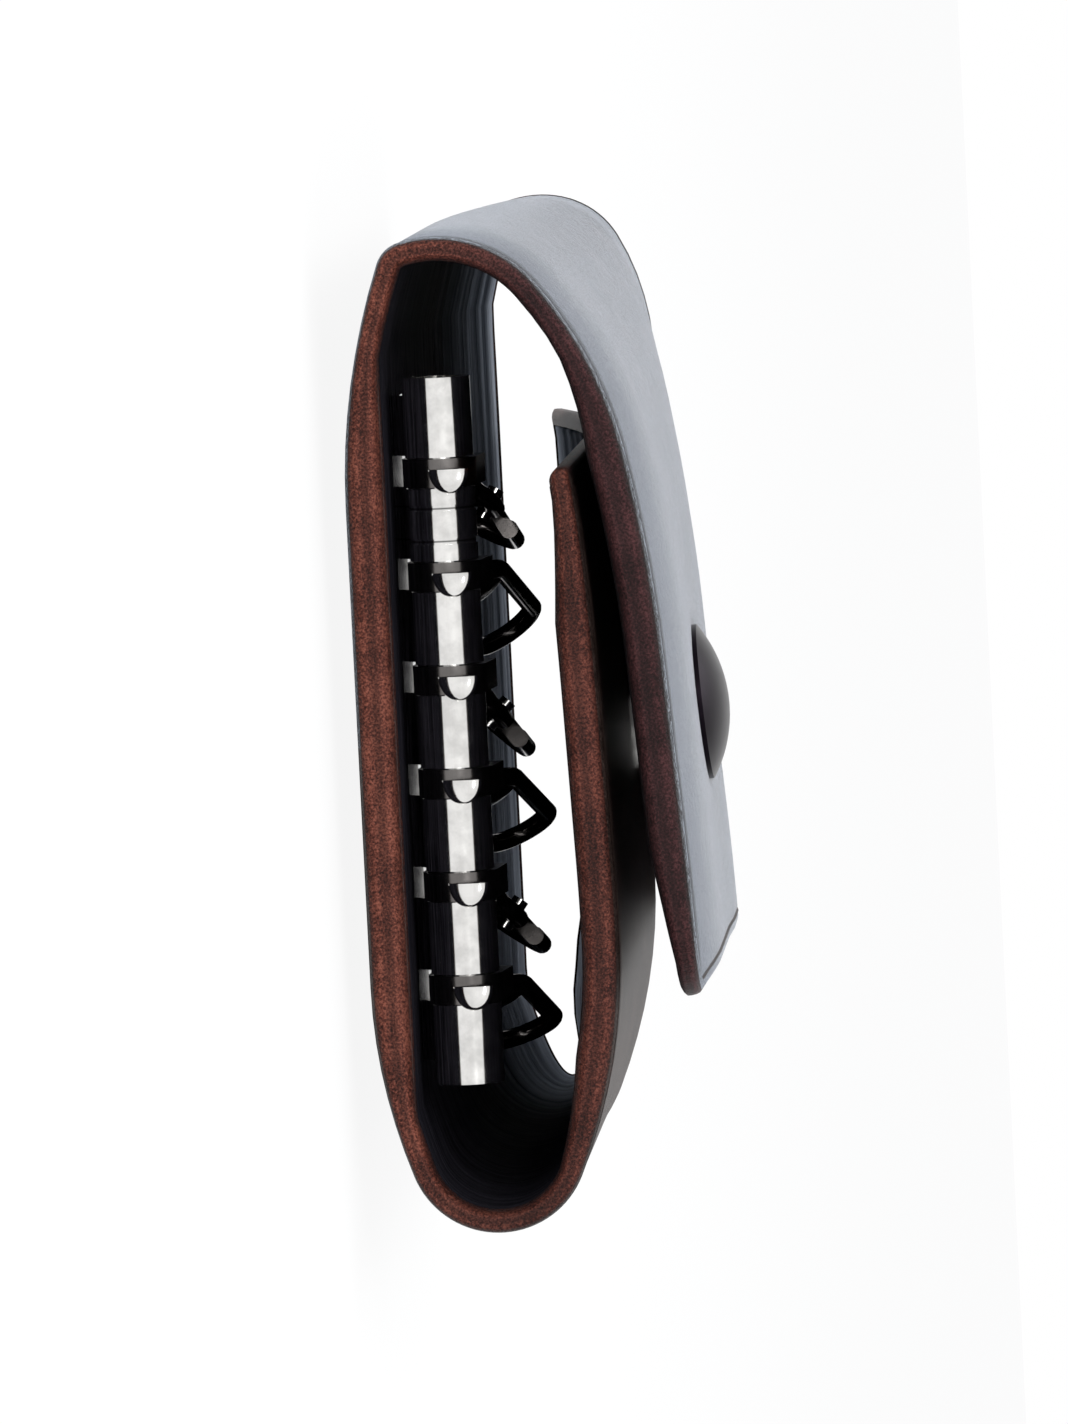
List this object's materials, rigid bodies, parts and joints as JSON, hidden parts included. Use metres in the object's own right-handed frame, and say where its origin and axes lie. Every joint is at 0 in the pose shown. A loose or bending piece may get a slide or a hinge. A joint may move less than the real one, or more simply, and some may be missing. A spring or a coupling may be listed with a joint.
{
  "type": "key case",
  "caption": "Folded leather key case with a press-stud flap and a row of swivelling snap hooks inside its open end.",
  "frame": {"origin": "middle of the closed case's box, on the flat back face that it rests on", "axes": "+Z out of the back panel through the thickness, Y along the case between its open ends with the key row near -Y, +X from the top fold to the bottom fold"},
  "size_m": [0.0766, 0.105, 0.0266],
  "materials": {
    "outer_leather": "dark brown smooth leather, waxed",
    "lining": "black fine-ribbed lining leather",
    "stiffener": "pressed fibre board, hidden inside the panels",
    "nickel_plate": "polished nickel plate",
    "hook_steel": "polished black nickel plate on steel",
    "spring_steel": "polished spring steel, dark plated",
    "cap_enamel": "dark brown enamelled cap"
  },
  "bodies": {
    "back": {"back_cover": "outer_leather", "back_board": "stiffener", "back_lining": "lining", "row_plate": "nickel_plate", "row_axle": "nickel_plate", "row_rivets": "nickel_plate", "row_washers": "nickel_plate"},
    "spine": {"spine_cover": "outer_leather", "spine_lining": "lining"},
    "flap": {"flap_cover": "outer_leather", "flap_board": "stiffener", "flap_lining": "lining", "snap_cap": "cap_enamel", "snap_socket": "nickel_plate", "snap_spring": "nickel_plate"},
    "front": {"front_cover": "outer_leather", "front_board": "stiffener", "front_lining": "lining", "snap_stud": "nickel_plate", "snap_eyelet": "nickel_plate"},
    "eye_1": {"eye_1": "hook_steel"},
    "hook_1": {"hook_1": "hook_steel", "swivel_1": "spring_steel", "gate_pin_1": "spring_steel"},
    "gate_1": {"gate_1": "spring_steel"},
    "eye_2": {"eye_2": "hook_steel"},
    "hook_2": {"hook_2": "hook_steel", "swivel_2": "spring_steel", "gate_pin_2": "spring_steel"},
    "gate_2": {"gate_2": "spring_steel"},
    "eye_3": {"eye_3": "hook_steel"},
    "hook_3": {"hook_3": "hook_steel", "swivel_3": "spring_steel", "gate_pin_3": "spring_steel"},
    "gate_3": {"gate_3": "spring_steel"},
    "eye_4": {"eye_4": "hook_steel"},
    "hook_4": {"hook_4": "hook_steel", "swivel_4": "spring_steel", "gate_pin_4": "spring_steel"},
    "gate_4": {"gate_4": "spring_steel"},
    "eye_5": {"eye_5": "hook_steel"},
    "hook_5": {"hook_5": "hook_steel", "swivel_5": "spring_steel", "gate_pin_5": "spring_steel"},
    "gate_5": {"gate_5": "spring_steel"},
    "eye_6": {"eye_6": "hook_steel"},
    "hook_6": {"hook_6": "hook_steel", "swivel_6": "spring_steel", "gate_pin_6": "spring_steel"},
    "gate_6": {"gate_6": "spring_steel"}
  },
  "joints": [
    {"name": "top_fold", "type": "hinge", "parent": "back", "child": "spine", "pos_m": [-0.03743, 0, 0.00393], "axis": [0, -1, 0], "range_deg": [0, 125]},
    {"name": "flap_shoulder", "type": "hinge", "parent": "spine", "child": "flap", "pos_m": [-0.03463, 0, 0.01508], "axis": [0, -1, 0], "range_deg": [0, 45]},
    {"name": "bottom_fold", "type": "hinge", "parent": "back", "child": "front", "pos_m": [0.03829, 0, 0.00908], "axis": [0, 1, 0], "range_deg": [0, 80]},
    {"name": "eye_1_swing", "type": "hinge", "parent": "back", "child": "eye_1", "pos_m": [-0.02, -0.0435, 0.0068], "axis": [1, 0, 0], "range_deg": [-3, 6]},
    {"name": "hook_1_swivel", "type": "hinge", "parent": "eye_1", "child": "hook_1", "pos_m": [-0.02, -0.03881, 0.00713], "axis": [0.1908, 0.9792, 0.0685], "continuous": true},
    {"name": "gate_1_press", "type": "hinge", "parent": "hook_1", "child": "gate_1", "pos_m": [-0.01655, -0.03096, 0.00935], "axis": [-0.6568, 0.0755, 0.7502], "range_deg": [0, 16], "stiffness_Nm_per_rad": 0.002, "springref_deg": -17.19},
    {"name": "eye_2_swing", "type": "hinge", "parent": "back", "child": "eye_2", "pos_m": [-0.012, -0.0435, 0.0068], "axis": [1, 0, 0], "range_deg": [-5.5, 3.5]},
    {"name": "hook_2_swivel", "type": "hinge", "parent": "eye_2", "child": "hook_2", "pos_m": [-0.012, -0.03883, 0.00733], "axis": [0.2079, 0.9719, 0.1107], "continuous": true},
    {"name": "gate_2_press", "type": "hinge", "parent": "hook_2", "child": "gate_2", "pos_m": [-0.00807, -0.03089, 0.00706], "axis": [0.4592, -0.1969, 0.8662], "range_deg": [0, 16], "stiffness_Nm_per_rad": 0.002, "springref_deg": -17.19},
    {"name": "eye_3_swing", "type": "hinge", "parent": "back", "child": "eye_3", "pos_m": [-0.004, -0.0435, 0.0068], "axis": [1, 0, 0], "range_deg": [-4, 5]},
    {"name": "hook_3_swivel", "type": "hinge", "parent": "eye_3", "child": "hook_3", "pos_m": [-0.004, -0.03882, 0.00721], "axis": [0.2079, 0.9744, 0.0853], "continuous": true},
    {"name": "gate_3_press", "type": "hinge", "parent": "hook_3", "child": "gate_3", "pos_m": [0.00012, -0.03109, 0.00858], "axis": [-0.2696, -0.0267, 0.9626], "range_deg": [0, 16], "stiffness_Nm_per_rad": 0.002, "springref_deg": -17.19},
    {"name": "eye_4_swing", "type": "hinge", "parent": "back", "child": "eye_4", "pos_m": [0.004, -0.0435, 0.0068], "axis": [1, 0, 0], "range_deg": [-6, 3]},
    {"name": "hook_4_swivel", "type": "hinge", "parent": "eye_4", "child": "hook_4", "pos_m": [0.004, -0.03884, 0.00737], "axis": [0.1994, 0.9726, 0.1194], "continuous": true},
    {"name": "gate_4_press", "type": "hinge", "parent": "hook_4", "child": "gate_4", "pos_m": [0.00768, -0.03079, 0.00688], "axis": [0.576, -0.2149, 0.7887], "range_deg": [0, 16], "stiffness_Nm_per_rad": 0.002, "springref_deg": -17.19},
    {"name": "eye_5_swing", "type": "hinge", "parent": "back", "child": "eye_5", "pos_m": [0.012, -0.0435, 0.0068], "axis": [1, 0, 0], "range_deg": [-4.5, 4.5]},
    {"name": "hook_5_swivel", "type": "hinge", "parent": "eye_5", "child": "hook_5", "pos_m": [0.012, -0.03882, 0.00725], "axis": [0.2079, 0.9736, 0.0938], "continuous": true},
    {"name": "gate_5_press", "type": "hinge", "parent": "hook_5", "child": "gate_5", "pos_m": [0.01588, -0.03111, 0.00925], "axis": [-0.4891, 0.0205, 0.872], "range_deg": [0, 16], "stiffness_Nm_per_rad": 0.002, "springref_deg": -17.19},
    {"name": "eye_6_swing", "type": "hinge", "parent": "back", "child": "eye_6", "pos_m": [0.02, -0.0435, 0.0068], "axis": [1, 0, 0], "range_deg": [-5, 4]},
    {"name": "hook_6_swivel", "type": "hinge", "parent": "eye_6", "child": "hook_6", "pos_m": [0.02, -0.03883, 0.00729], "axis": [0.2164, 0.9709, 0.1021], "continuous": true},
    {"name": "gate_6_press", "type": "hinge", "parent": "hook_6", "child": "gate_6", "pos_m": [0.02334, -0.0307, 0.00616], "axis": [0.7693, -0.234, 0.5945], "range_deg": [0, 16], "stiffness_Nm_per_rad": 0.002, "springref_deg": -17.19}
  ],
  "couplings": [
    {"joint": "flap_shoulder", "follows": "top_fold", "ratio": 0.36},
    {"joint": "bottom_fold", "follows": "top_fold", "ratio": 0.64}
  ]
}
